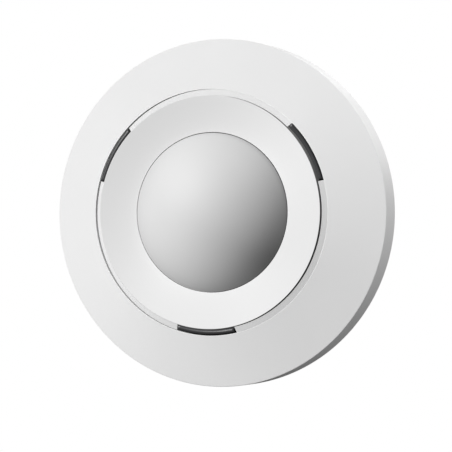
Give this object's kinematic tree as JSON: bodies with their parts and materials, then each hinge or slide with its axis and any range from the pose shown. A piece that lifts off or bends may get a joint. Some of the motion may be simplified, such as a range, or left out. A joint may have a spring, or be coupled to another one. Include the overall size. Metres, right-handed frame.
{
  "type": "ceiling motion detector",
  "caption": "Round white ceiling motion detector with a domed lens in a shallow dish, slim smoked light windows, a twist-off cover and a screw-down base.",
  "frame": {"origin": "centre of the flat mounting face, which lies against the ceiling", "axes": "+Y points into the ceiling, out of the mounting face, and the lens looks along -Y; +Z is the top of the front view, midway between two of the light windows. The detector is stored as the picture shows it, upright and seen from the front; on a ceiling +Y points up."},
  "size_m": [0.11, 0.0325, 0.11],
  "materials": {
    "white_abs": "fine satin moulding",
    "grey_abs": "plain moulding",
    "lens_polyethylene": "satin, slightly milky",
    "smoked_polycarbonate": "polished, dark smoked",
    "screw_steel": "zinc plated",
    "cell_can": "shrink sleeve",
    "contact_nickel": "nickel plated",
    "board_laminate": "green solder mask",
    "sensor_metal": "tinned sheet",
    "filter_glass": "polished filter",
    "black_plastic": "moulded",
    "collar_plastic": "moulded",
    "capacitor_can": "drawn can",
    "header_nylon": "moulded",
    "led_epoxy": "clear epoxy",
    "switch_red": "moulded",
    "switch_white": "moulded"
  },
  "bodies": {
    "base": {"battery_cell_1": "cell_can", "battery_cell_2": "cell_can", "battery_link_contact": "contact_nickel", "battery_negative_contact": "contact_nickel", "battery_positive_contact": "contact_nickel", "board_screws": "screw_steel", "bulk_capacitor": "capacitor_can", "chip_components": "black_plastic", "crystal": "sensor_metal", "learn_button_body": "black_plastic", "main_board": "board_laminate", "microcontroller": "black_plastic", "mounting_base": "grey_abs", "pir_filter": "filter_glass", "pir_sensor_base": "sensor_metal", "pir_sensor_can": "sensor_metal", "pyroelectric_element": "black_plastic", "radio_antenna": "sensor_metal", "radio_shield": "sensor_metal", "sensor_collar": "collar_plastic", "service_header": "header_nylon", "setting_switch": "switch_red", "status_led_1": "led_epoxy", "status_led_2": "led_epoxy", "status_led_3": "led_epoxy", "tamper_switch": "black_plastic"},
    "cover": {"cover_ring": "white_abs", "lens_bezel": "white_abs", "lens_dome": "lens_polyethylene", "lens_retainer": "grey_abs", "retainer_screws": "screw_steel", "light_guide_1": "smoked_polycarbonate", "light_guide_2": "smoked_polycarbonate", "light_guide_3": "smoked_polycarbonate"},
    "tamper_plunger": {"tamper_plunger": "switch_white"},
    "learn_button": {"learn_button_cap": "switch_white"},
    "setting_slider_1": {"setting_slider_1": "switch_white"},
    "setting_slider_2": {"setting_slider_2": "switch_white"},
    "setting_slider_3": {"setting_slider_3": "switch_white"}
  },
  "joints": [
    {"name": "cover_twist", "type": "hinge", "parent": "base", "child": "cover", "pos_m": [0, 0, 0], "axis": [0, -1, 0], "range_deg": [0, 20]},
    {"name": "tamper_plunger_slide", "type": "slide", "parent": "base", "child": "tamper_plunger", "axis": [0, -1, 0], "range_m": [0, 0.001]},
    {"name": "learn_button_press", "type": "slide", "parent": "base", "child": "learn_button", "axis": [0, 1, 0], "range_m": [0, 0.00025], "stiffness_N_per_m": 400},
    {"name": "setting_slider_1_slide", "type": "slide", "parent": "base", "child": "setting_slider_1", "axis": [1, 0, 0], "range_m": [0, 0.0012]},
    {"name": "setting_slider_2_slide", "type": "slide", "parent": "base", "child": "setting_slider_2", "axis": [1, 0, 0], "range_m": [0, 0.0012]},
    {"name": "setting_slider_3_slide", "type": "slide", "parent": "base", "child": "setting_slider_3", "axis": [1, 0, 0], "range_m": [0, 0.0012]}
  ],
  "couplings": [
    {"joint": "tamper_plunger_slide", "follows": "cover_twist", "m_per_rad": 0.0028648}
  ]
}
